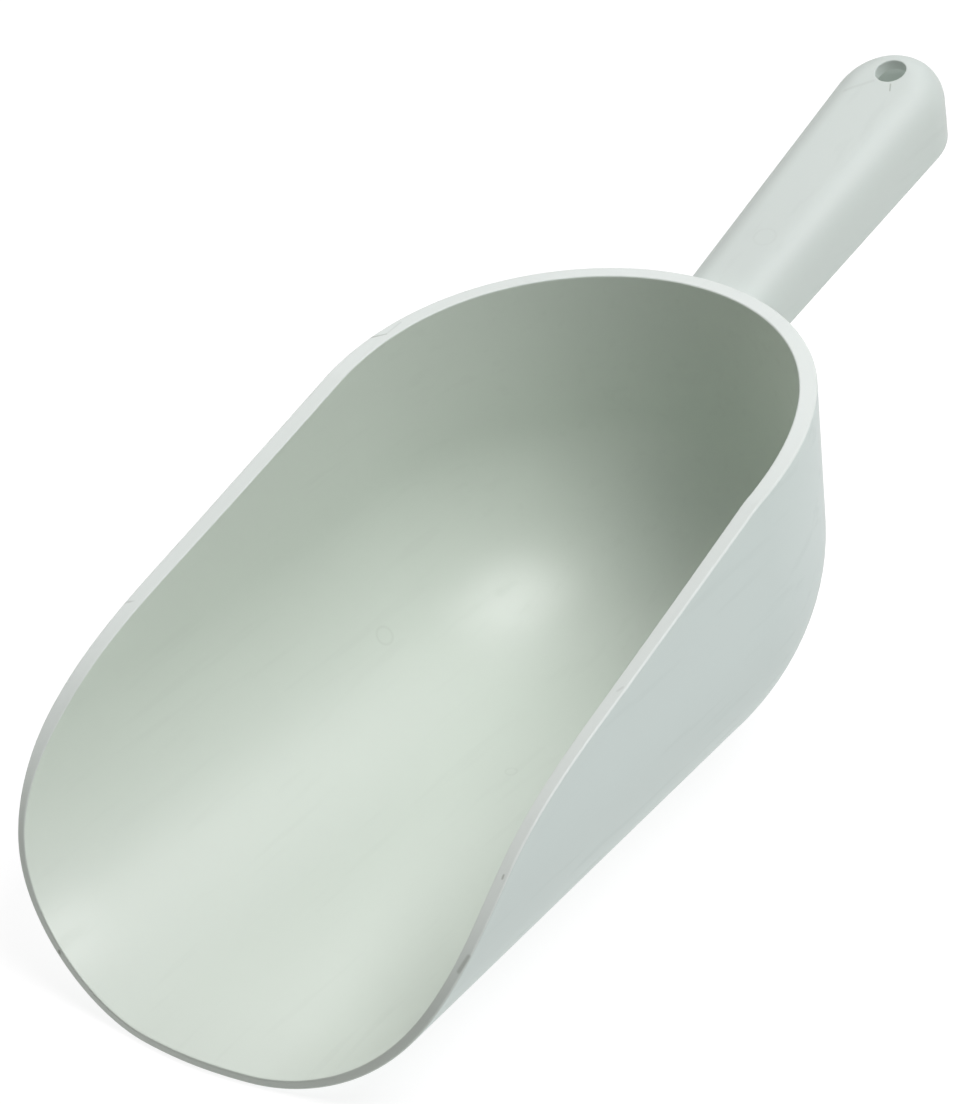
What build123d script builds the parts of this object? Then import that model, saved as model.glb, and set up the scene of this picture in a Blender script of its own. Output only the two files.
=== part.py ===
from build123d import *
import os
from math import atan2, cos, degrees, pi, radians, sin, tan

# One-piece moulded ice scoop, in millimetres. +Y runs from the pouring lip to
# the handle and +Z is up. The origin is on the flat bottom, under the shoulder,
# where the straight-sided trough meets the rounded back.

# Bowl: outer surface
BACK_HALF_WIDTH = 72.0        # at SHOULDER_Z, where the rounded back begins
LIP_HALF_WIDTH = 79.0         # at SHOULDER_Z, if the sides ran on to the lip
LIP_Y = -168.7                # front edge of the floor
BACK_Y = 82.7                 # rearmost point of the rounded back, at SHOULDER_Z
SHOULDER_Z = 99.0             # rim height where the rounded back begins
FLOOR_CORNER_R = 61.0         # floor-to-wall radius
WALL_DRAFT = 1.0              # degrees, the bowl is drawn upwards off its core

# Bowl: wall thickness
BACK_WALL = 5.0
LIP_WALL = 3.7

# Rim of the trough, as if its wall were unrolled flat: distance round the wall
# from the middle of the floor, and Y
UNROLLED_RIM = [
    (0.0, LIP_Y), (21.0, -166.9), (37.7, -163.6), (52.7, -160.0), (67.7, -155.7),
    (82.6, -149.6), (97.4, -138.7), (111.8, -121.3), (128.6, -70.1),
]
RIM_SLOPE = 0.222             # rise of the rim as it reaches the shoulder
BACK_RIM_Z = 104.4            # rim height at the middle of the rounded back
BACK_RIM_EASE = 2.7           # how soon the rim levels out behind the shoulder
RIM_BAND = 4.5                # depth of the rim land and of the lip's edge band
LIP_BAND_END_Y = -121.3       # where the lip's band meets the side walls' land

# Handle: an inverted channel, open underneath
HANDLE_SLOPE = 14.7           # degrees above horizontal
HANDLE_ROOT_Z = 100.1         # top face at BACK_Y
HANDLE_LENGTH = 110.0         # along the slope, from BACK_Y to the tip
ROOT_HALF_WIDTH = 14.1
TIP_R = 17.0                  # the tip is round in plan
ROOT_DEPTH = 17.3             # outer height of the side walls, measured upright
TIP_DEPTH = 22.0
TOP_EDGE_R = 10.2
HANDLE_TOP = 3.7              # thickness of the channel's top
HANDLE_SIDE = 3.2             # thickness of its side walls
HANDLE_DRAFT = 1.0
HOLE_R = 4.45
HOLE_TO_TIP = 14.2            # hole centre to tip, along the slope
TIP_SPLIT = 28.0              # length of the pierced tip, along the slope

# Construction
HEADROOM_Z = 135.0            # the bowl's blanks are taller than the rim
LIP_OVERRUN = 10.0            # the blanks run past the lip
RIM_STEPS = 30                # points along each curved stretch of the rim
REACH = 14.0                  # how far the cutting ribbon stands out on each side of the wall
OVERRUN_X = 8.0               # how far that ribbon passes the mirror plane at the lip
OVERRUN_TURN = 6.0            # the same at the back, in degrees round the bowl
ROOT_OVERLAP = 30.0           # how far the handle's blank runs into the bowl
HANDLE_BASE_Z = 60.0          # the handle's blank starts below its underside
HANDLE_HEADROOM_Z = 150.0     # and ends above its top
BORE_LENGTH = 15.0            # length of the cutter for the hole
NEAR = 1.0                    # edges closer than this to the blank's open end aren't rounded


def half_width(y):
    """Outer half width at SHOULDER_Z of the straight-sided stretch."""
    return BACK_HALF_WIDTH + (LIP_HALF_WIDTH - BACK_HALF_WIDTH) * min(y, 0) / LIP_Y


def flat_half_width(width):
    """Half width of the flat bottom of a section that is this half wide at SHOULDER_Z."""
    draft = radians(WALL_DRAFT)
    tangent_z = FLOOR_CORNER_R * (1 - sin(draft))
    return width - FLOOR_CORNER_R * cos(draft) - (SHOULDER_Z - tangent_z) * tan(draft)


def wall_length(width):
    """Distance round such a section from the middle of the floor up to SHOULDER_Z."""
    draft = radians(WALL_DRAFT)
    upright = (SHOULDER_Z - FLOOR_CORNER_R * (1 - sin(draft))) / cos(draft)
    return flat_half_width(width) + FLOOR_CORNER_R * (pi / 2 - draft) + upright


def wall_point(width, run):
    """Point and outward normal in X and Z, this far round a section from the floor's middle."""
    draft = radians(WALL_DRAFT)
    flat = flat_half_width(width)
    if run <= flat:
        return Vector(run, 0, 0), Vector(0, 0, -1)
    angle = min((run - flat) / FLOOR_CORNER_R, pi / 2 - draft)
    normal = Vector(sin(angle), 0, -cos(angle))
    corner = Vector(flat, 0, FLOOR_CORNER_R) + normal * FLOOR_CORNER_R
    upright = run - flat - FLOOR_CORNER_R * angle
    return corner + Vector(sin(draft), 0, cos(draft)) * upright, normal


def half_section(width, inset):
    """Right half of the bowl's section, inset from the outer surface, in X and Z."""
    draft = radians(WALL_DRAFT)
    radius = FLOOR_CORNER_R - inset
    flat = flat_half_width(width)
    tangent = (flat + radius * cos(draft), FLOOR_CORNER_R - radius * sin(draft))
    middle = (flat + radius * sin(pi / 4), FLOOR_CORNER_R - radius * cos(pi / 4))
    top = (tangent[0] + (HEADROOM_Z - tangent[1]) * tan(draft), HEADROOM_Z)
    outline = [
        Line((0, inset), (flat, inset)),
        ThreePointArc((flat, inset), middle, tangent),
        Line(tangent, top),
        Line(top, (0, HEADROOM_Z)),
        Line((0, HEADROOM_Z), (0, inset)),
    ]
    return make_face(outline)


def bowl_blank(back_inset, lip_inset):
    """Right half of the bowl as a solid block, inset by these thicknesses."""
    front_y = LIP_Y - LIP_OVERRUN
    front_inset = back_inset + (lip_inset - back_inset) * front_y / LIP_Y
    front = Plane.XZ.offset(-front_y) * half_section(half_width(front_y), front_inset)
    shoulder = Plane.XZ * half_section(BACK_HALF_WIDTH, back_inset)
    trough = loft([front, shoulder], ruled=True)
    quarter = revolve(shoulder, Axis.Z, 90)
    stretch = (BACK_Y - back_inset) / (BACK_HALF_WIDTH - back_inset)
    return trough + scale(quarter, by=(1, stretch, 1))


def trough_stations():
    """The trough's outer rim edge from the lip to the shoulder: points with the wall's normal."""
    shoulder = (wall_length(BACK_HALF_WIDTH), 0)
    outline = Spline([*UNROLLED_RIM, shoulder], tangents=[(1, 0), (RIM_SLOPE, 1)])
    stations = []
    for step in range(RIM_STEPS):
        spot = outline @ (step / RIM_STEPS)
        point, normal = wall_point(half_width(spot.Y), spot.X)
        stations.append((point + Vector(0, spot.Y, 0), normal))
    return stations


def back_stations():
    """The same round the back, from the shoulder to just past the mirror plane."""
    draft = radians(WALL_DRAFT)
    stretch = BACK_Y / BACK_HALF_WIDTH
    stations = []
    for step in range(RIM_STEPS + 1):
        turn = radians(90 + OVERRUN_TURN) * step / RIM_STEPS
        rise = (BACK_RIM_Z - SHOULDER_Z) * (1 - (1 - sin(turn)) ** BACK_RIM_EASE)
        width = BACK_HALF_WIDTH + rise * tan(draft)
        point = Vector(width * cos(turn), stretch * width * sin(turn), SHOULDER_Z + rise)
        normal = Vector(cos(turn), sin(turn) / stretch, -tan(draft)).normalized()
        stations.append((point, normal))
    return stations


def rim_stations():
    """The rim's outer edge from the lip's mirror plane to the back's, X >= 0."""
    return [(Vector(-OVERRUN_X, LIP_Y, 0), Vector(0, 0, -1)), *trough_stations(), *back_stations()]


def rim_ribbon(depth):
    """Ruled face that crosses the wall at right angles, this deep below the rim."""
    stations = rim_stations()
    low, high, lengths = [], [], [0.0]
    for index, (point, normal) in enumerate(stations):
        before = stations[max(index - 1, 0)][0]
        after = stations[min(index + 1, len(stations) - 1)][0]
        down = (after - before).normalized().cross(normal).normalized()
        centre = point + down * depth
        low.append(centre - normal * REACH)
        high.append(centre + normal * REACH)
        if index:
            lengths.append(lengths[-1] + (point - before).length)
    share = [length / lengths[-1] for length in lengths]
    return Face.make_surface_from_curves(
        Edge.make_spline(low, parameters=share), Edge.make_spline(high, parameters=share)
    )


def halves(half):
    """A right-hand half joined to its mirror image."""
    return half + mirror(half, about=Plane.YZ)


def bowl_pieces():
    """The bowl's shell, the land along its rim and the edge band of its lip."""
    walls = bowl_blank(0, 0) - bowl_blank(BACK_WALL, LIP_WALL)
    trimmed = lowest(split(walls, bisect_by=rim_ribbon(0), keep=Keep.BOTH))
    cut = split(trimmed, bisect_by=rim_ribbon(RIM_BAND), keep=Keep.BOTH)
    shell = max(cut.solids(), key=lambda solid: solid.volume)
    band = min(cut.solids(), key=lambda solid: solid.volume)
    seam = Plane.XZ.offset(-LIP_BAND_END_Y)
    lip = split(band, bisect_by=seam, keep=Keep.TOP)
    land = split(band, bisect_by=seam, keep=Keep.BOTTOM)
    return halves(shell), halves(land), halves(lip)


def lowest(shape):
    """The solid of a shape whose centre is lowest."""
    return min(shape.solids(), key=lambda solid: solid.center().Z)


def handle_outline(inset):
    """Plan of the handle: two straight sides that widen to a round tip."""
    tip_y = BACK_Y + HANDLE_LENGTH * cos(radians(HANDLE_SLOPE))
    centre_y = tip_y - TIP_R
    flare = atan2(TIP_R - ROOT_HALF_WIDTH, centre_y - BACK_Y)
    radius = TIP_R - inset
    side = (radius * cos(flare), centre_y - radius * sin(flare))
    start_y = BACK_Y - ROOT_OVERLAP
    start = (side[0] - (side[1] - start_y) * tan(flare), start_y)
    outline = [
        Line((-start[0], start_y), start),
        Line(start, side),
        ThreePointArc(side, (0, centre_y + radius), (-side[0], side[1])),
        Line((-side[0], side[1]), (-start[0], start_y)),
    ]
    return make_face(outline)


def handle_plane(drop, slope=HANDLE_SLOPE):
    """Plane across the handle at this slope, this far below its top face at the root."""
    rise = radians(slope)
    return Plane(origin=(0, BACK_Y, HANDLE_ROOT_Z - drop), x_dir=(1, 0, 0), z_dir=(0, -sin(rise), cos(rise)))


def handle_block(inset, top_drop, edge_r):
    """Solid block of the handle with rounded top edges, open-ended towards the bowl."""
    flare = (HANDLE_ROOT_Z - HANDLE_BASE_Z) * tan(radians(HANDLE_DRAFT))
    base = Plane.XY.offset(HANDLE_BASE_Z) * handle_outline(inset - flare)
    column = extrude(base, HANDLE_HEADROOM_Z - HANDLE_BASE_Z, taper=HANDLE_DRAFT)
    top = handle_plane(top_drop)
    block = split(column, bisect_by=top, keep=Keep.BOTTOM)
    face = max(block.faces(), key=lambda f: f.normal_at().dot(top.z_dir))
    root_y = BACK_Y - ROOT_OVERLAP
    edges = [edge for edge in face.edges() if abs(edge.center().Y - root_y) > NEAR]
    return fillet(edges, edge_r)


def handle_pieces(bowl_block):
    """The handle's channel and its pierced tip."""
    tip_run = (HANDLE_LENGTH - TIP_R) * cos(radians(HANDLE_SLOPE))
    fall = degrees(atan2(tip_run * tan(radians(HANDLE_SLOPE)) - (TIP_DEPTH - ROOT_DEPTH), tip_run))
    underside = handle_plane(ROOT_DEPTH, fall)
    outer = split(handle_block(0, 0, TOP_EDGE_R), bisect_by=underside, keep=Keep.TOP)
    inner = handle_block(HANDLE_SIDE, HANDLE_TOP / cos(radians(HANDLE_SLOPE)), TOP_EDGE_R - HANDLE_TOP)
    top = handle_plane(0)
    bore = top * Pos(0, HANDLE_LENGTH - HOLE_TO_TIP, 0) * Cylinder(HOLE_R, BORE_LENGTH)
    channel = outer - inner - bore - bowl_block
    start = top.from_local_coords((0, HANDLE_LENGTH - TIP_SPLIT, 0))
    cut = Plane(origin=start, x_dir=top.x_dir, z_dir=top.y_dir)
    tip = split(channel, bisect_by=cut, keep=Keep.TOP)
    grip = split(channel, bisect_by=cut, keep=Keep.BOTTOM)
    return grip, tip


def main():
    """Write each piece as its own STEP file."""
    os.makedirs("parts", exist_ok=True)
    shell, land, lip = bowl_pieces()
    grip, tip = handle_pieces(halves(bowl_blank(0, 0)))
    pieces = {
        "bowl_shell": shell,
        "rim_land": land,
        "pouring_lip": lip,
        "handle_channel": grip,
        "hanging_tip": tip,
    }
    for name, piece in pieces.items():
        export_step(piece, f"parts/{name}.step")


main()
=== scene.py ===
import bpy
import numpy as np
from math import atan2, cos, pi, radians, sin, sqrt, tan
from mathutils import Matrix, Vector


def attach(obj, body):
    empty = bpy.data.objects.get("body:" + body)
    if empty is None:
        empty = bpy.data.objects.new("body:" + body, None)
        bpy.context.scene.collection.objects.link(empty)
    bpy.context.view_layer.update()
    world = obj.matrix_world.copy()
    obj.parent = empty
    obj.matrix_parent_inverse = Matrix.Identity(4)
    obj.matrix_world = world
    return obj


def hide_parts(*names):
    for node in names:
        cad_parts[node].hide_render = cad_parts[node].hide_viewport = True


# A moulded plastic ice scoop on a pale studio floor. Lengths are in millimetres
# until a mesh or a light is made, which is in metres. +Y runs from the lip to
# the handle and +Z is up.

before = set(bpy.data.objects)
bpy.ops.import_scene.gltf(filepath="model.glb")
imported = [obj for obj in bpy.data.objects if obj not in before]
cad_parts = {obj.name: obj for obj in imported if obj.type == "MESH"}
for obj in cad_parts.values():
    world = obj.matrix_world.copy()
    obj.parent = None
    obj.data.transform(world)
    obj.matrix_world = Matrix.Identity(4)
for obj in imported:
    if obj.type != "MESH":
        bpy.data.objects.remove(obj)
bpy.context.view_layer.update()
MM = 0.001

# The bowl's outer surface, as in the CAD source
BACK_HALF_WIDTH = 72.0
LIP_HALF_WIDTH = 79.0
LIP_Y = -168.7
BACK_Y = 82.7
SHOULDER_Z = 99.0
FLOOR_CORNER_R = 61.0
DRAFT = radians(1.0)
BACK_WALL = 5.0
LIP_WALL = 3.7
UNROLLED_RIM = [              # round the section from the floor's middle, and along Y
    (0.0, LIP_Y), (21.0, -166.9), (37.7, -163.6), (52.7, -160.0), (67.7, -155.7),
    (82.6, -149.6), (97.4, -138.7), (111.8, -121.3), (128.6, -70.1),
]
RIM_SLOPE = 0.222             # rise of the rim as it reaches the shoulder
BACK_RIM_RISE = 5.4
BACK_RIM_EASE = 2.7           # how soon the rim levels out behind the shoulder
RIM_BAND = 4.5                # depth of the edge band
LIP_BAND_KNOT = 7             # the rim's fitted point where the lip's band ends

# The bowl's finish
LAND_OUTER_R = 0.7
LAND_INNER_R = 0.5
LAND_DIP = 0.7                # the land's inner edge is this much lower than its outer one
DIP_FADES_FROM = -30.0        # along Y, then round the back, as far as this dip fades out
DIP_FADES_TO = 65.0
LIP_THINNING = 1.0            # the lip's wall is this much thinner at its edge
THINNING_DEPTH = 26.0         # and comes back to full thickness this far in
LIP_EASE_FROM = -122.0        # along Y, the thinning starts here and the dip begins to fade
LIP_EASE_TO = -148.0
FAN_Y = -112.0                # the grid's lines from the lip meet here, on the floor
FAN_END_Y = -146.0
STATIONS_PER_SPAN = 12
BACK_STATIONS = 96
FLOOR_ROWS = 48               # from the edge band in to the floor's middle
FLOOR_SPREAD = 1.15           # those rows are closer together near the edge band
ARC_STEPS = 6                 # steps in every small rounding
LAND_STEP = 0.3               # from the land's rounding to the next row
BAND_MIDDLE = 2.2             # depth of the row halfway down the edge band
EDGE_ROWS = 5                 # rows of the edge band before the land's rounding is half done
SNAP = 0.002                  # points this close to the mirror plane are put on it

# The handle, as in the CAD source
SLOPE = radians(14.7)
ROOT_Z = 100.1
HANDLE_LENGTH = 110.0
ROOT_HALF_WIDTH = 14.1
TIP_R = 17.0
ROOT_DEPTH = 17.3
TIP_DEPTH = 22.0
TOP_EDGE_R = 10.2
HANDLE_TOP = 3.7
HANDLE_SIDE = 3.2
HOLE_R = 4.45
HOLE_TO_TIP = 14.2
TIP_SPLIT = 28.0

# The handle's finish
TIP_EDGE_R = 8.3              # the crown's edge is tighter round the tip than along the sides
BOTTOM_EDGE_R = 0.7
HOLE_EDGE_R = 0.35
ROOT_FILLET_R = 2.6
ROOT_SINK = 2.0               # the visual handle starts this deep inside the bowl's wall


# ---------------------------------------------------------------- mesh tools

class Build:
    """Collects faces by region on one shared set of points, so that pieces cut from it shade as one."""

    def __init__(self):
        self.points = []
        self.index = {}
        self.faces = {}
        self.caps = {}
        self.finishes = {}

    def point(self, p):
        key = (round(p[0], 3), round(p[1], 3), round(p[2], 3))
        if key not in self.index:
            self.index[key] = len(self.points)
            self.points.append(tuple(float(c) for c in p))
        return self.index[key]

    def grid(self, region, rows, flip=False, cap=False, finish=0):
        """Quads over rows of points, which are all the same length, in one of the piece's finishes."""
        ids = [[self.point(p) for p in row] for row in rows]
        store = (self.caps if cap else self.faces).setdefault(region, [])
        finishes = self.finishes.setdefault((region, cap), [])
        for low, high in zip(ids, ids[1:]):
            for a, b, c, d in zip(low, low[1:], high[1:], high):
                corners = []
                for corner in (a, b, c, d):
                    if corner not in corners:
                        corners.append(corner)
                if len(corners) > 2:
                    store.append(corners[::-1] if flip else corners)
                    finishes.append(finish)

    def normals(self):
        """Normals averaged over faces by area, which keeps flat stretches flat beside small edges."""
        points = np.array(self.points)
        total = np.zeros_like(points)
        for faces in self.faces.values():
            for face in faces:
                corners = points[face]
                if len(face) == 4:
                    area = np.cross(corners[2] - corners[0], corners[3] - corners[1])
                else:
                    area = np.cross(corners[1] - corners[0], corners[2] - corners[0])
                total[face] += area
        return total / np.maximum(np.linalg.norm(total, axis=1, keepdims=True), 1e-12)

    def piece(self, name, region, normals):
        """A closed Blender mesh of one region, with the normals of the whole."""
        outside = self.faces[region]
        faces = outside + self.caps.get(region, [])
        used = sorted({corner for face in faces for corner in face})
        local = {old: new for new, old in enumerate(used)}
        mesh = bpy.data.meshes.new(name)
        mesh.from_pydata(
            [[c * MM for c in self.points[old]] for old in used], [],
            [[local[corner] for corner in face] for face in faces],
        )
        mesh.polygons.foreach_set("use_smooth", [True] * len(faces))
        finishes = self.finishes[region, False] + self.finishes.get((region, True), [])
        mesh.polygons.foreach_set("material_index", finishes)
        loops = []
        for number, face in enumerate(faces):
            flat = mesh.polygons[number].normal
            for corner in face:
                loops.append(tuple(normals[corner]) if number < len(outside) else tuple(flat))
        mesh.normals_split_custom_set(loops)
        mesh.validate()
        piece = bpy.data.objects.new(name, mesh)
        bpy.context.scene.collection.objects.link(piece)
        return piece


def mirrored(rows):
    return [[(-x, y, z) for x, y, z in row] for row in rows]


# ---------------------------------------------------------------- the bowl

def half_width(y):
    return BACK_HALF_WIDTH + (LIP_HALF_WIDTH - BACK_HALF_WIDTH) * np.minimum(y, 0) / LIP_Y


def flat_half_width(width):
    tangent_z = FLOOR_CORNER_R * (1 - sin(DRAFT))
    return width - FLOOR_CORNER_R * cos(DRAFT) - (SHOULDER_Z - tangent_z) * tan(DRAFT)


def wall_length(width):
    upright = (SHOULDER_Z - FLOOR_CORNER_R * (1 - sin(DRAFT))) / cos(DRAFT)
    return flat_half_width(width) + FLOOR_CORNER_R * (pi / 2 - DRAFT) + upright


def section_point(width, run, inset):
    """X and Z, this far round a section from the floor's middle and this far in from its outside."""
    flat = flat_half_width(width)
    angle = np.clip((run - flat) / FLOOR_CORNER_R, 0, pi / 2 - DRAFT)
    upright = np.maximum(run - flat - FLOOR_CORNER_R * angle, 0)
    across = np.minimum(run, flat)
    x = across + (FLOOR_CORNER_R - inset) * np.sin(angle) + upright * sin(DRAFT)
    z = FLOOR_CORNER_R - (FLOOR_CORNER_R - inset) * np.cos(angle) + upright * cos(DRAFT)
    return x, z


def wall_at(s):
    return BACK_WALL + (LIP_WALL - BACK_WALL) * min(s, 0) / LIP_Y


def bowl_point(run, s, through):
    """Point of the bowl's wall.

    run goes round the section, s along Y and then round the back, and through from 0 outside to 1 inside.
    """
    inset = wall_at(s) * through
    if s <= 0:
        x, z = section_point(half_width(s), run, inset)
        return np.array([float(x), s, float(z)])
    turn = s / BACK_Y
    x, z = section_point(BACK_HALF_WIDTH, run, inset)
    stretch = (BACK_Y - inset) / (BACK_HALF_WIDTH - inset)
    return np.array([float(x) * cos(turn), stretch * float(x) * sin(turn), float(z)])


def clamped_spline(knots, first, last, per_span):
    """Points on a smooth curve through the knots, with its directions at both ends."""
    knots = np.array(knots, float)
    chords = np.linalg.norm(np.diff(knots, axis=0), axis=1)
    first = np.array(first, float) / np.linalg.norm(first)
    last = np.array(last, float) / np.linalg.norm(last)
    count = len(knots)
    system, right = np.zeros((count, count)), np.zeros((count, 2))
    system[0, 0] = system[-1, -1] = 1
    right[0], right[-1] = first, last
    for i in range(1, count - 1):
        before, after = chords[i - 1], chords[i]
        system[i, i - 1], system[i, i], system[i, i + 1] = after, 2 * (before + after), before
        rise = (knots[i] - knots[i - 1]) / before * after + (knots[i + 1] - knots[i]) / after * before
        right[i] = 3 * rise
    slopes = np.linalg.solve(system, right)
    points = []
    for i, chord in enumerate(chords):
        for t in np.arange(per_span) / per_span:
            points.append(
                (2 * t**3 - 3 * t**2 + 1) * knots[i] + (t**3 - 2 * t**2 + t) * chord * slopes[i]
                + (3 * t**2 - 2 * t**3) * knots[i + 1] + (t**3 - t**2) * chord * slopes[i + 1]
            )
    return np.array([*points, knots[-1]])


def rim_line():
    """The rim's outer edge as (run, s) from the lip's middle to the back's."""
    full = wall_length(BACK_HALF_WIDTH)
    trough = clamped_spline([*UNROLLED_RIM, (full, 0.0)], (1, 0), (RIM_SLOPE, 1), STATIONS_PER_SPAN)
    turn = np.linspace(0, pi / 2, BACK_STATIONS + 1)[1:]
    rise = BACK_RIM_RISE * (1 - (1 - np.sin(turn)) ** BACK_RIM_EASE)
    back = np.stack([full + rise / cos(DRAFT), turn * BACK_Y], axis=1)
    return np.concatenate([trough, back])


def smooth(value, start, end):
    share = min(max((value - start) / (end - start), 0.0), 1.0)
    return share * share * (3 - 2 * share)


def rim_profile():
    """The wall's edge in section: (distance in from the outside, depth), then (from the inside, depth)."""
    bends = [i / ARC_STEPS * pi / 2 for i in range(ARC_STEPS + 1)]
    outer = [(LAND_OUTER_R * (1 - cos(b)), LAND_OUTER_R * (1 - sin(b))) for b in bends]
    inner = [(-LAND_INNER_R * (1 - sin(b)), LAND_INNER_R * (1 - cos(b))) for b in bends]
    upper = [LAND_OUTER_R + LAND_STEP, BAND_MIDDLE, RIM_BAND]
    lower = [LAND_INNER_R + LAND_STEP, BAND_MIDDLE, RIM_BAND]
    return [(0.0, v) for v in upper[::-1]] + outer, inner + [(0.0, v) for v in lower]


def land_dip(s):
    """How much lower the land's inner edge is than its outer edge, at s along the rim."""
    at_lip = smooth(s, LIP_EASE_FROM, LIP_EASE_TO)
    at_back = smooth(s, DIP_FADES_FROM, DIP_FADES_TO)
    return LAND_DIP * (1 - at_lip) * (1 - at_back)


def thinned(s, depth):
    """How much thinner the wall is at s along the rim, this deep below its edge."""
    return LIP_THINNING * smooth(s, LIP_EASE_FROM, LIP_EASE_TO) * max(1 - depth / THINNING_DEPTH, 0) ** 2


def bowl_rows():
    """A row of points for each station round the rim.

    Each runs from the floor's middle up the outside, over the rim and down the inside to the middle again.
    """
    rim = rim_line()
    step = np.gradient(rim, axis=0)
    shrink = np.ones(len(rim))
    back = rim[:, 1] > 0
    turn = rim[back, 1] / BACK_Y
    shrink[back] = np.hypot(BACK_HALF_WIDTH / BACK_Y * np.sin(turn), np.cos(turn))
    along = np.stack([step[:, 0], step[:, 1] * shrink], axis=1)
    along /= np.linalg.norm(along, axis=1, keepdims=True)
    along[0], along[-1] = (1, 0), (0, 1)
    inward = np.stack([-along[:, 1], along[:, 0] / shrink], axis=1)
    reach = np.linspace(0, 1, FLOOR_ROWS + 1)[1:] ** FLOOR_SPREAD
    outer, inner = rim_profile()
    rows = []
    for (run, s), (d_run, d_s) in zip(rim, inward):
        thickness = wall_at(s)
        spine = FAN_Y * min(1.0, s / FAN_END_Y) if s < 0 else s
        base = (run + d_run * RIM_BAND, s + d_s * RIM_BAND)
        floor = [(base[0] * (1 - f), base[1] + (spine - base[1]) * f) for f in reach]
        row = [bowl_point(*spot, 0) for spot in floor[::-1]]
        row += [bowl_point(run + d_run * v, s + d_s * v, u / thickness) for u, v in outer]
        dip = land_dip(s)
        for u, v in inner:
            v = dip + v * (1 - dip / RIM_BAND)
            row.append(bowl_point(run + d_run * v, s + d_s * v, 1 + (u - thinned(s, v)) / thickness))
        for spot in floor:
            depth = RIM_BAND + np.hypot(spot[0] - base[0], spot[1] - base[1])
            row.append(bowl_point(*spot, 1 - thinned(s, depth) / thickness))
        for p in row:
            if abs(p[0]) < SNAP:
                p[0] = 0.0
        rows.append(row)
    for row in (rows[0], rows[-1]):
        for p in row:
            p[0] = 0.0
    return rows, len(reach), len(outer) + len(inner)


def make_bowl():
    """The bowl's three pieces. Their finishes are 0 inside, 1 outside and 2 on the wall's edge."""
    rows, floor_count, edge_count = bowl_rows()
    build = Build()
    split = LIP_BAND_KNOT * STATIONS_PER_SPAN
    first, last = floor_count, floor_count + edge_count - 1
    outer_edge = first + EDGE_ROWS
    inner_edge = last - EDGE_ROWS
    for side, flip in ((rows, True), (mirrored(rows), False)):
        build.grid("bowl_shell", [row[:first + 1] for row in side], flip, finish=1)
        build.grid("bowl_shell", [row[last:] for row in side], flip)
        build.grid("bowl_shell", [[row[first], row[last]] for row in side], flip, cap=True)
        for region, part in (("pouring_lip", side[:split + 1]), ("rim_land", side[split:])):
            build.grid(region, [row[first:outer_edge + 1] for row in part], flip, finish=1)
            build.grid(region, [row[outer_edge:inner_edge + 1] for row in part], flip, finish=2)
            build.grid(region, [row[inner_edge:last + 1] for row in part], flip)
            build.grid(region, [[row[first], row[last]] for row in part], not flip, cap=True)
        edge = side[split][first:last + 1]
        half = len(edge) // 2
        section = [edge[:half], edge[::-1][:half]]
        build.grid("pouring_lip", section, flip, cap=True)
        build.grid("rim_land", section, not flip, cap=True)
    normals = build.normals()
    names = ("bowl_shell", "rim_land", "pouring_lip")
    return {name: build.piece("scoop_" + name, name, normals) for name in names}


# ---------------------------------------------------------------- the handle

TOP_N = np.array([0, -sin(SLOPE), cos(SLOPE)])
TOP_ALONG = np.array([0, cos(SLOPE), sin(SLOPE)])
TOP_AT = np.array([0, BACK_Y, ROOT_Z])
TIP_Y = BACK_Y + HANDLE_LENGTH * cos(SLOPE)
CENTRE_Y = TIP_Y - TIP_R
FLARE = atan2(TIP_R - ROOT_HALF_WIDTH, CENTRE_Y - BACK_Y)
TIP_RUN = (HANDLE_LENGTH - TIP_R) * cos(SLOPE)
FALL = atan2(TIP_RUN * tan(SLOPE) - (TIP_DEPTH - ROOT_DEPTH), TIP_RUN)
UNDER_N = np.array([0, -sin(FALL), cos(FALL)])
UNDER_AT = np.array([0, BACK_Y, ROOT_Z - ROOT_DEPTH])
FILLET_ROWS = 14
RING_ROW = 7                  # the tip's rings start at this row of the fillet
WALL_ROWS = 6
COLUMNS = 10
TIP_ARC = 56
SIDE_STEPS = 8
ROOT_STEPS = 8
GRIP_STEPS = 16
RINGS = 14
EDGE_TIGHTENS = (-0.1, 0.9)   # stretch of the plan outline where the top edge's radius changes
CROWN_FROM = -0.45            # the crown is worked out from here on along the plan outline
CROWN_SIDE_BALLS = 59         # balls along the side, round the tip and across
CROWN_TIP_BALLS = 160
CROWN_ACROSS = 41
SETTLE = 8                    # passes that settle a ball between the wall and a plane
MEET = 12                     # passes that find where a line meets the bowl's back
CROWN_PASSES = 3


def outline(t):
    """Right-hand plan outline: t is -1 at the root, 0 where the round tip starts and 1 at the tip."""
    if t > 0:
        turn = -FLARE + (pi / 2 + FLARE) * t
        n = np.array([cos(turn), sin(turn)])
        return np.array([0, CENTRE_Y]) + n * TIP_R, n
    n = np.array([cos(FLARE), -sin(FLARE)])
    side = np.array([0, CENTRE_Y]) + n * TIP_R
    length = (side[1] - BACK_Y) / cos(FLARE)
    return side + np.array([sin(FLARE), cos(FLARE)]) * t * length, n


def ball(t, inset, plane_at, plane_n, reach):
    """Centre of a ball that is inset from the drafted wall and touches or clears a plane by reach."""
    spot, n = outline(t)
    z = plane_at[2]
    for _ in range(SETTLE):
        a = (inset + (z - ROOT_Z) * sin(DRAFT)) / cos(DRAFT)
        y = spot[1] - n[1] * a
        z = plane_at[2] + (reach - (y - plane_at[1]) * plane_n[1]) / plane_n[2]
    wall = np.array([n[0] * cos(DRAFT), n[1] * cos(DRAFT), sin(DRAFT)])
    return np.array([spot[0] - n[0] * a, y, z]), wall


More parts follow.
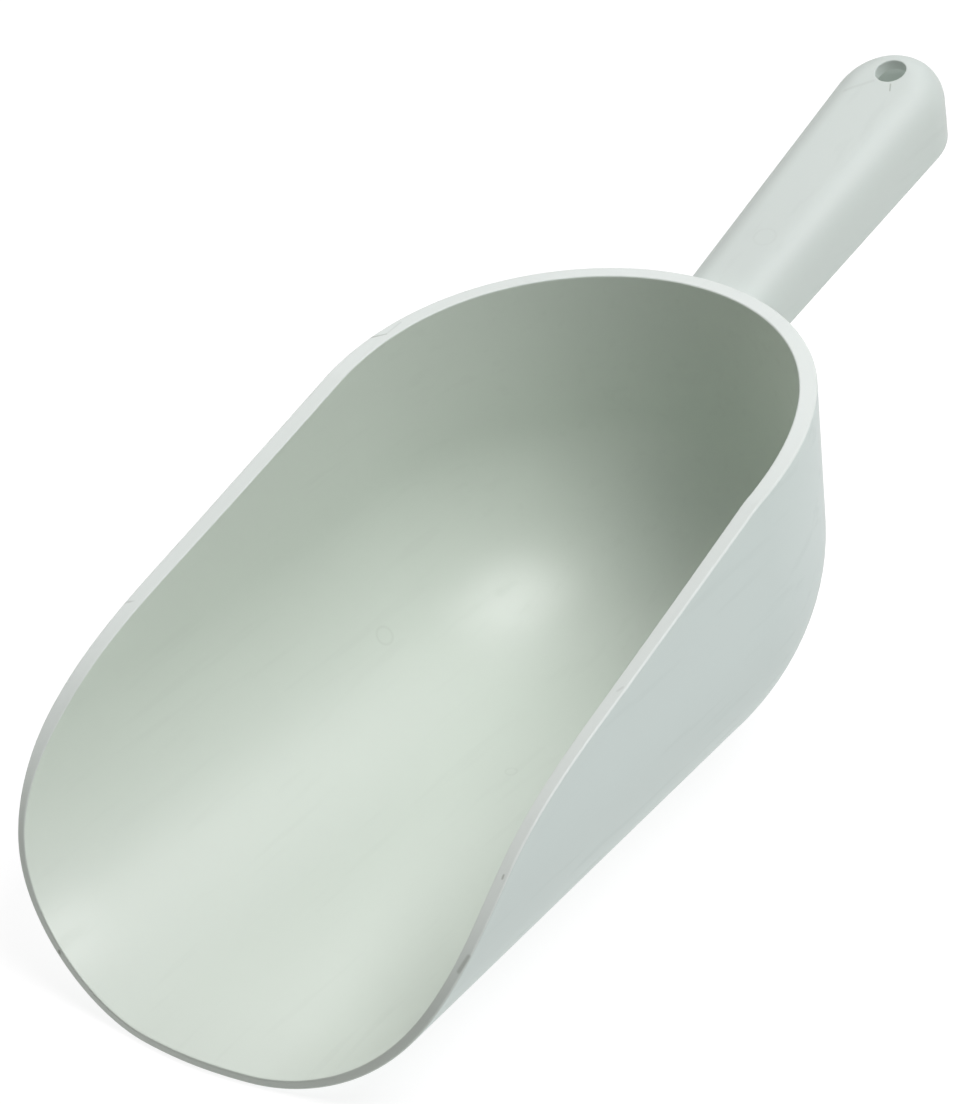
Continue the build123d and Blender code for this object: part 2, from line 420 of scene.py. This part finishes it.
def swing(a, b, share):
    """Unit vector on the way from a to b."""
    angle = np.arccos(np.clip(a @ b, -1, 1))
    return (np.sin((1 - share) * angle) * a + np.sin(share * angle) * b) / np.sin(angle)


def edge_radius(t):
    return TOP_EDGE_R + (TIP_EDGE_R - TOP_EDGE_R) * smooth(t, *EDGE_TIGHTENS)


def side_rows(t):
    """Outer and inner (point, normal) pairs of the handle's side at one station, from its bottom edge up."""
    r = BOTTOM_EDGE_R
    low, wall = ball(t, r, UNDER_AT, UNDER_N, r)
    low_in, _ = ball(t, HANDLE_SIDE - r, UNDER_AT, UNDER_N, r)
    top_r = edge_radius(t)
    high, _ = ball(t, top_r, TOP_AT, TOP_N, -top_r)
    inner_r = top_r - HANDLE_TOP
    high_in, _ = ball(t, HANDLE_SIDE + inner_r, TOP_AT, TOP_N, -HANDLE_TOP - inner_r)
    middle = (low + low_in) / 2 - UNDER_N * r
    outer, inner = [(middle, -UNDER_N)], [(middle, -UNDER_N)]
    for i in range(ARC_STEPS + 1):
        outer.append((low + r * swing(-UNDER_N, wall, i / ARC_STEPS), swing(-UNDER_N, wall, i / ARC_STEPS)))
        inner.append((low_in + r * swing(-UNDER_N, -wall, i / ARC_STEPS), -wall))
    foot, foot_in = outer[-1][0], inner[-1][0]
    head, head_in = high + top_r * wall, high_in + inner_r * wall
    for i in range(1, WALL_ROWS):
        outer.append((foot + (head - foot) * i / WALL_ROWS, wall))
        inner.append((foot_in + (head_in - foot_in) * i / WALL_ROWS, -wall))
    for i in range(FILLET_ROWS + 1):
        n = swing(wall, TOP_N, i / FILLET_ROWS)
        outer.append((high + top_r * n, n))
        inner.append((high_in + inner_r * n, -n))
    return outer, inner


def on_split(a, b):
    """Where the line through a and b crosses the plane between the grip and the tip."""
    at = TOP_AT + TOP_ALONG * (HANDLE_LENGTH - TIP_SPLIT)
    return a + (b - a) * ((at - a) @ TOP_ALONG) / ((b - a) @ TOP_ALONG)


def on_back(a, b):
    """Where the line through a and b crosses the outside of the bowl's back."""
    p = a
    for _ in range(MEET):
        width = BACK_HALF_WIDTH + (p[2] - SHOULDER_Z) * tan(DRAFT)
        y = BACK_Y / BACK_HALF_WIDTH * sqrt(width**2 - p[0] ** 2)
        p = a + (b - a) * (y - a[1]) / (b[1] - a[1])
    return p


def root_flare(distance):
    """How far the root fillet stands out from the handle, this far from the bowl's wall."""
    gap = min(max(ROOT_FILLET_R - distance, 0), ROOT_FILLET_R)
    return ROOT_FILLET_R - sqrt(ROOT_FILLET_R**2 - gap**2)


def grip_line(a, b, n, flare):
    """Points along one straight line of the grip, from inside the bowl's wall to the split plane."""
    start, end = on_back(a, b), on_split(a, b)
    length = np.linalg.norm(end - start)
    along = (end - start) / length
    steps = [ROOT_FILLET_R * (1 - cos(i / ROOT_STEPS * pi / 2)) for i in range(ROOT_STEPS + 1)]
    rest = [ROOT_FILLET_R + (length - ROOT_FILLET_R) * i / GRIP_STEPS for i in range(1, GRIP_STEPS + 1)]
    line = []
    for distance in [-ROOT_SINK, *steps, *rest]:
        out = root_flare(distance) if flare else 0.0
        line.append(start + along * distance + n * out)
    return line


def grip_loops():
    """Outer and inner lines of the grip, each running its length, in order across the handle."""
    near, far = side_rows(-1.0), side_rows(0.0)
    loops = []
    for layer, flare in ((0, True), (1, False)):
        lines = [grip_line(a, b, n, flare) for (a, n), (b, _) in zip(near[layer], far[layer])]
        (a, n), (b, _) = near[layer][-1], far[layer][-1]
        across = []
        for i in range(1, COLUMNS):
            share = 1 - 2 * i / COLUMNS
            left, right = a * (share, 1, 1), b * (share, 1, 1)
            across.append(grip_line(left, right, n, flare))
        other = [mirrored([line])[0] for line in lines[::-1]]
        loops.append([*lines, *across, *other])
    return loops


def crown_height(points, inset, drop):
    """Height of the rounded top over plan points near the tip: the top of all the balls under it."""
    at = TOP_AT - TOP_N * drop
    balls = []
    along_side = np.linspace(CROWN_FROM, 0, CROWN_SIDE_BALLS + 1)[:-1]
    for t in np.concatenate([along_side, np.linspace(0, 1, CROWN_TIP_BALLS)]):
        radius = edge_radius(t) - drop
        centre, _ = ball(t, inset + radius, at, TOP_N, -radius)
        balls += [(*(centre * (share, 1, 1)), radius) for share in np.linspace(-1, 1, CROWN_ACROSS)]
    balls = np.array(balls)
    heights = []
    for x, y in points:
        gap = balls[:, 3] ** 2 - (balls[:, 0] - x) ** 2 - (balls[:, 1] - y) ** 2
        under = gap > 0
        heights.append(np.max(balls[under, 2] + np.sqrt(gap[under])))
    return np.array(heights)


def tip_rings(loop, inset, drop):
    """Rings of points over the tip's top, from a loop on its fillet in to the hole's edge."""
    centre = TOP_AT + TOP_ALONG * (HANDLE_LENGTH - HOLE_TO_TIP) - TOP_N * drop
    across = np.array([1.0, 0, 0])
    flat = []
    for p in loop:
        away = p - centre
        flat.append((away @ across, away @ TOP_ALONG))
    rings = [list(loop)]
    shares = np.linspace(0, 1, RINGS + 1)[1:]
    sunk = [i / ARC_STEPS * pi / 2 for i in range(1, ARC_STEPS + 1)]
    plan, drops = [], []
    for share in shares:
        for u, v in flat:
            length = sqrt(u * u + v * v)
            r = length + (HOLE_R + HOLE_EDGE_R - length) * share
            plan.append((u / length * r, v / length * r))
            drops.append(0.0)
    for bend in sunk:
        for u, v in flat:
            length = sqrt(u * u + v * v)
            r = HOLE_R + HOLE_EDGE_R * (1 - sin(bend))
            plan.append((u / length * r, v / length * r))
            drops.append(HOLE_EDGE_R * (1 - cos(bend)))
    points = [centre + across * u + TOP_ALONG * v for u, v in plan]
    for _ in range(CROWN_PASSES):
        heights = crown_height([p[:2] for p in points], inset, drop)
        for i, p in enumerate(points):
            below = (p[2] - heights[i]) * cos(SLOPE)
            points[i] = p - TOP_N * max(below, 0.0)
    sign = 1 if drop == 0 else -1
    points = [p - TOP_N * d * sign for p, d in zip(points, drops)]
    for i in range(len(plan) // len(loop)):
        rings.append(points[i * len(loop):(i + 1) * len(loop)])
    return rings


def make_handle():
    build = Build()
    outer, inner = grip_loops()
    build.grid("handle_channel", outer, flip=False)
    build.grid("handle_channel", inner, flip=True)
    for at, flip in ((0, False), (-1, True)):
        ends = [[line[at] for line in outer], [line[at] for line in inner]]
        build.grid("handle_channel", ends, flip, cap=True)
        if at:
            build.grid("hanging_tip", ends, not flip, cap=True)
    far = side_rows(0.0)
    ring_at = len(far[0]) - 1 - (FILLET_ROWS - RING_ROW)
    edge = [line[-1] for line in outer], [line[-1] for line in inner]
    tips = []
    for layer in (0, 1):
        stations = [edge[layer][:ring_at + 1]]
        straight = [(p, q) for p, (q, _) in zip(stations[0], far[layer])]
        for i in range(1, SIDE_STEPS + 1):
            stations.append([p + (q - p) * i / SIDE_STEPS for p, q in straight])
        for i in range(1, TIP_ARC + 1):
            stations.append([p for p, _ in side_rows(i / TIP_ARC)[layer][:ring_at + 1]])
        other = [mirrored([row])[0] for row in stations[::-1]]
        for row in (stations[-1], other[0]):
            for p in range(len(row)):
                row[p] = (0.0, row[p][1], row[p][2])
        stations = stations + other[1:]
        build.grid("hanging_tip", stations, flip=(layer == 0))
        chord = edge[layer][ring_at:len(edge[layer]) - ring_at][::-1]
        loop = [np.array(row[-1]) for row in stations] + [np.array(p) for p in chord[1:]]
        rings = tip_rings(loop, HANDLE_SIDE * layer, HANDLE_TOP * layer)
        build.grid("hanging_tip", rings, flip=(layer == 1))
        tips.append(rings[-1])
    bore = [[a + (b - a) * share for a, b in zip(*tips)] for share in (0.0, 0.5, 1.0)]
    build.grid("hanging_tip", bore, flip=False)
    normals = build.normals()
    names = ("handle_channel", "hanging_tip")
    return {name: build.piece("scoop_" + name, name, normals) for name in names}


bowl = make_bowl()
handle = make_handle()
pieces = {**bowl, **handle}


# ---------------------------------------------------------------- materials

def add(tree, kind, inputs=(), **settings):
    """A shader node with its settings, and its inputs as (name or number, value or socket)."""
    node = tree.nodes.new("ShaderNode" + kind)
    for name, value in settings.items():
        setattr(node, name, value)
    for name, value in inputs:
        if isinstance(value, bpy.types.NodeSocket):
            tree.links.new(value, node.inputs[name])
        else:
            node.inputs[name].default_value = value
    return node


MIX_A, MIX_B, MIX_OUT = 6, 7, 2   # the colour sockets of a Mix node
GRIME = (0.20, 0.22, 0.18)
# The painted shade on the rim's edge is full at the lip and gone by here.
PAINTED_LIP_SHADE_FROM = -128.0          # along Y, in millimetres
LIGHTEST, DARKEST, WORN = 1.025, 0.968, 0.86   # against the tint
WEAR_DEPTH = 0.12
WEAR_FULL, WEAR_NONE = 0.30, 0.42     # of the scuffing noise
WEAR_ROUGHNESS = 0.08
GRAIN_HEIGHT, CLOUD_HEIGHT, WEAR_HEIGHT = 0.10, 0.5, -0.10
CLOUD_SHARE, STREAK_SHARE = 0.6, 0.4
ROUGH_SPREAD, ROUGH_OFFSET = 0.10, -0.06
MARK_HEIGHT = -1.2
BUMP_STRENGTH, BUMP_DISTANCE = 0.35, 0.0002
MARK_CORE = 0.15                  # share of a mark's width that has its full depth


def blend_colour(tree, share, a, b):
    colours = [(*c, 1) if isinstance(c, tuple) else c for c in (a, b)]
    node = add(tree, "Mix", [(0, share), (MIX_A, colours[0]), (MIX_B, colours[1])], data_type="RGBA")
    return node.outputs[MIX_OUT]


def fade(tree, value, start, end, top=1.0):
    """Falls smoothly from top at start to nothing at end."""
    node = add(
        tree, "MapRange",
        [("Value", value), ("From Min", start), ("From Max", end), ("To Min", top), ("To Max", 0.0)],
        interpolation_type="SMOOTHSTEP",
    )
    return node.outputs["Result"]


def maths(tree, operation, *values, clamp=False):
    node = add(tree, "Math", list(enumerate(values)), operation=operation, use_clamp=clamp)
    return node.outputs[0]


def scratch(tree, place, a, b, width, depth):
    """A mark along the straight line from a to b, in millimetres."""
    start, run = Vector(a) * MM, (Vector(b) - Vector(a)) * MM
    away = add(tree, "VectorMath", [(0, place), (1, start)], operation="SUBTRACT").outputs[0]
    along = add(tree, "VectorMath", [(0, away), (1, run / run.length_squared)], operation="DOT_PRODUCT")
    share = maths(tree, "ADD", along.outputs["Value"], 0.0, clamp=True)
    nearest = add(tree, "VectorMath", [(0, run), ("Scale", share)], operation="SCALE").outputs[0]
    gap = add(tree, "VectorMath", [(0, away), (1, nearest)], operation="DISTANCE").outputs["Value"]
    return fade(tree, gap, MARK_CORE * width * MM, width * MM, depth)


def ring(tree, place, centre, radius, width, depth):
    """A round witness mark, such as a gate or an ejector pin leaves."""
    middle = Vector(centre) * MM
    gap = add(tree, "VectorMath", [(0, place), (1, middle)], operation="DISTANCE").outputs["Value"]
    off = maths(tree, "ABSOLUTE", maths(tree, "SUBTRACT", gap, radius * MM))
    return fade(tree, off, 0.0, width * MM, depth)


def noise(tree, place, scale, detail, stretch=(1, 1, 1)):
    moved = add(tree, "Mapping", [("Vector", place), ("Scale", stretch)])
    node = add(tree, "TexNoise", [("Vector", moved.outputs[0]), ("Scale", scale), ("Detail", detail)])
    return node.outputs["Fac"]


def plastic(name, tint, roughness, scratches=(), rings=(), painted_lip_shade=None):
    """Satin moulded plastic: mottled tint, flow streaks, fine grain, light handling wear and marks.

    painted_lip_shade, if given, takes over from tint towards the lip: a darker colour painted on there as
    shade.
    """
    material = bpy.data.materials.new(name)
    material.use_nodes = True
    tree = material.node_tree
    shader = tree.nodes["Principled BSDF"]
    object_place = add(tree, "TexCoord").outputs["Object"]
    cloud = noise(tree, object_place, 16.0, 2.0)
    streak = noise(tree, object_place, 60.0, 2.0, (1.0, 0.12, 1.0))
    grain = noise(tree, object_place, 1500.0, 1.0)
    scuff = noise(tree, object_place, 260.0, 3.0, (1.0, 0.07, 1.0))
    light = tuple(c * LIGHTEST for c in tint)
    dark = tuple(c * DARKEST for c in tint)
    mottle = maths(tree, "MULTIPLY_ADD", cloud, CLOUD_SHARE, maths(tree, "MULTIPLY", streak, STREAK_SHARE))
    colour = blend_colour(tree, mottle, dark, light)
    # Painted shade: the edge's colour darkens towards the lip, where its face turns away from the lights.
    if painted_lip_shade:
        along = add(tree, "SeparateXYZ", [(0, object_place)]).outputs["Y"]
        colour = blend_colour(tree, fade(tree, along, LIP_Y * MM, PAINTED_LIP_SHADE_FROM * MM), colour, painted_lip_shade)
    wear = fade(tree, scuff, WEAR_FULL, WEAR_NONE)
    worn = tuple(c * WORN for c in tint)
    colour = blend_colour(tree, maths(tree, "MULTIPLY", wear, WEAR_DEPTH), colour, worn)
    height = maths(tree, "MULTIPLY_ADD", grain, GRAIN_HEIGHT, maths(tree, "MULTIPLY", cloud, CLOUD_HEIGHT))
    height = maths(tree, "MULTIPLY_ADD", wear, WEAR_HEIGHT, height)
    lines = [scratch(tree, object_place, *line) for line in scratches]
    for mark in lines + [ring(tree, object_place, *circle) for circle in rings]:
        colour = blend_colour(tree, mark, colour, GRIME)
        height = maths(tree, "MULTIPLY_ADD", mark, MARK_HEIGHT, height)
    rough = maths(tree, "MULTIPLY_ADD", streak, ROUGH_SPREAD, roughness + ROUGH_OFFSET)
    rough = maths(tree, "MULTIPLY_ADD", wear, WEAR_ROUGHNESS, rough)
    bump = add(tree, "Bump", [("Strength", BUMP_STRENGTH), ("Distance", BUMP_DISTANCE), ("Height", height)])
    tree.links.new(colour, shader.inputs["Base Color"])
    tree.links.new(rough, shader.inputs["Roughness"])
    tree.links.new(bump.outputs[0], shader.inputs["Normal"])
    return material


# Scratches are (start, end, width, depth) and rings (centre, radius, width, depth). Lengths are in millimetres,
# and depth is how much of the grime's colour shows.
RIM_SCRATCHES = [
    ((-70.4, 17.0, 101.6), (-66.9, 20.6, 102.1), 0.45, 0.55),
    ((-66.9, 20.6, 102.1), (-66.4, 26.7, 102.6), 0.50, 0.16),
    ((-75.6, -90.6, 74.9), (-72.8, -88.2, 75.8), 0.45, 0.30),
    ((72.4, -67.4, 81.2), (73.0, -66.2, 81.5), 0.80, 0.20),
    ((74.9, -125.0, 59.1), (74.8, -124.3, 59.6), 0.60, 0.70),
    ((72.9, -143.8, 41.2), (74.2, -140.8, 44.4), 0.90, 0.40),
    ((-51.2, -159.6, 12.4), (-51.3, -159.5, 12.7), 0.90, 0.85),
]
INSIDE_RINGS = [((-53.5, -11.5, 24.5), 2.6, 0.7, 0.09), ((-1.2, -26.0, 4.9), 1.6, 0.6, 0.07)]
HANDLE_SCRATCHES = [
    ((3.0, 170.6, 123.1), (4.3, 168.2, 122.5), 0.35, 0.55),
    ((-8.6, 164.5, 121.3), (-2.7, 170.2, 123.0), 0.90, 0.12),
]
HANDLE_RINGS = [((2.0, 106.4, 106.3), 3.2, 0.6, 0.05)]

inside = plastic("bowl_inside", (0.605, 0.675, 0.60), 0.385, rings=INSIDE_RINGS)
outside = plastic("bowl_outside", (0.545, 0.622, 0.590), 0.46)
# The rim's edge takes a darker colour towards the lip, painted on as the shade on the lip's face.
edge = plastic("rim_edge", (0.64, 0.695, 0.655), 0.42, RIM_SCRATCHES, painted_lip_shade=(0.49, 0.535, 0.485))
grip = plastic("handle_grip", (0.54, 0.60, 0.56), 0.54, HANDLE_SCRATCHES, HANDLE_RINGS)
looks = {
    "bowl_shell": ("bowl_plastic", [inside, outside]),
    "rim_land": ("rim_plastic", [inside, outside, edge]),
    "pouring_lip": ("rim_plastic", [inside, outside, edge]),
    "handle_channel": ("handle_plastic", [grip]),
    "hanging_tip": ("handle_plastic", [grip]),
}
for node, piece in pieces.items():
    slot, finishes = looks[node]
    for finish in finishes:
        piece.data.materials.append(finish)
    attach(piece, "root")
    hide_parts(node)


# ---------------------------------------------------------------- the studio

FLOOR_Z = -0.0002             # a hair below the bowl, so that the two never share a plane
FLOOR_HALF = 4.0
FLOOR_TINT = (0.22, 0.22, 0.22, 1)
FLOOR_GLOW = 0.84
LIGHT_DISTANCE = 1.6
LIT_POINT = Vector((0, 0, 0.05))
WORLD_STRENGTH = 0.0
CAMERA_AIM = Vector((0.0021, -0.0320, 0.0815))
CAMERA_DISTANCE = 1.6755
CAMERA_AZIMUTH, CAMERA_ELEVATION, CAMERA_ROLL = radians(40.1), radians(32.75), radians(-6.67)
LENS = 204.5
SENSOR_WIDTH = 36.0


def towards(azimuth, elevation):
    """Unit vector from the scoop: azimuth turns from in front of the lip towards +X."""
    return Vector((sin(azimuth) * cos(elevation), -cos(azimuth) * cos(elevation), sin(elevation)))


def make_floor():
    mesh = bpy.data.meshes.new("studio_floor")
    signs = ((-1, -1), (1, -1), (1, 1), (-1, 1))
    mesh.from_pydata([(FLOOR_HALF * x, FLOOR_HALF * y, FLOOR_Z) for x, y in signs], [], [(0, 1, 2, 3)])
    floor = bpy.data.objects.new("studio_floor", mesh)
    bpy.context.scene.collection.objects.link(floor)
    material = bpy.data.materials.new("studio_floor")
    material.use_nodes = True
    shader = material.node_tree.nodes["Principled BSDF"]
    shader.inputs["Base Color"].default_value = FLOOR_TINT
    shader.inputs["Roughness"].default_value = 0.9
    shader.inputs["Specular IOR Level"].default_value = 0.0
    shader.inputs["Emission Color"].default_value = (1, 1, 1, 1)
    shader.inputs["Emission Strength"].default_value = FLOOR_GLOW
    mesh.materials.append(material)


def softbox(name, azimuth, elevation, size, power, colour, glossy=True):
    """A square area light that faces the scoop. Without glossy it leaves no highlight."""
    data = bpy.data.lights.new(name, "AREA")
    data.shape = "SQUARE"
    data.size = size
    data.energy = power
    data.color = colour
    light = bpy.data.objects.new(name, data)
    away = towards(radians(azimuth), radians(elevation))
    light.visible_glossy = glossy
    light.location = LIT_POINT + away * LIGHT_DISTANCE
    light.rotation_mode = "QUATERNION"
    light.rotation_quaternion = (-away).to_track_quat("-Z", "Y")
    bpy.context.scene.collection.objects.link(light)


def make_camera():
    back = towards(CAMERA_AZIMUTH, CAMERA_ELEVATION)
    level = Vector((cos(CAMERA_AZIMUTH), sin(CAMERA_AZIMUTH), 0))
    upright = back.cross(level)
    right = level * cos(CAMERA_ROLL) + upright * sin(CAMERA_ROLL)
    up = upright * cos(CAMERA_ROLL) - level * sin(CAMERA_ROLL)
    data = bpy.data.cameras.new("studio_camera")
    data.lens = LENS
    data.sensor_width = SENSOR_WIDTH
    data.clip_start, data.clip_end = 0.1, 20.0
    camera = bpy.data.objects.new("studio_camera", data)
    turn = Matrix((right, up, back)).transposed()
    camera.matrix_world = Matrix.Translation(CAMERA_AIM + back * CAMERA_DISTANCE) @ turn.to_4x4()
    bpy.context.scene.collection.objects.link(camera)
    bpy.context.scene.camera = camera


def make_world():
    world = bpy.data.worlds.new("studio_world")
    world.use_nodes = True
    world.node_tree.nodes["Background"].inputs["Color"].default_value = (1, 1, 1, 1)
    world.node_tree.nodes["Background"].inputs["Strength"].default_value = WORLD_STRENGTH
    bpy.context.scene.world = world


make_floor()
make_camera()
make_world()
softbox("key_light", 103, 62, 0.9, 19.4, (1.0, 0.985, 1.0))
softbox("side_light", 108, 36, 1.2, 2.9, (0.98, 0.93, 1.0))
softbox("front_light", 150, 60, 0.9, 2.6, (0.98, 0.93, 1.0))
softbox("tail_light", 205, 52, 1.6, 5.8, (0.97, 0.93, 1.0))
softbox("back_light", 240, 60, 1.6, 9.7, (1.0, 0.96, 1.0), glossy=False)
softbox("left_light", 290, 30, 1.2, 3.2, (1.0, 0.97, 0.88))
bpy.context.scene.view_settings.view_transform = "Standard"
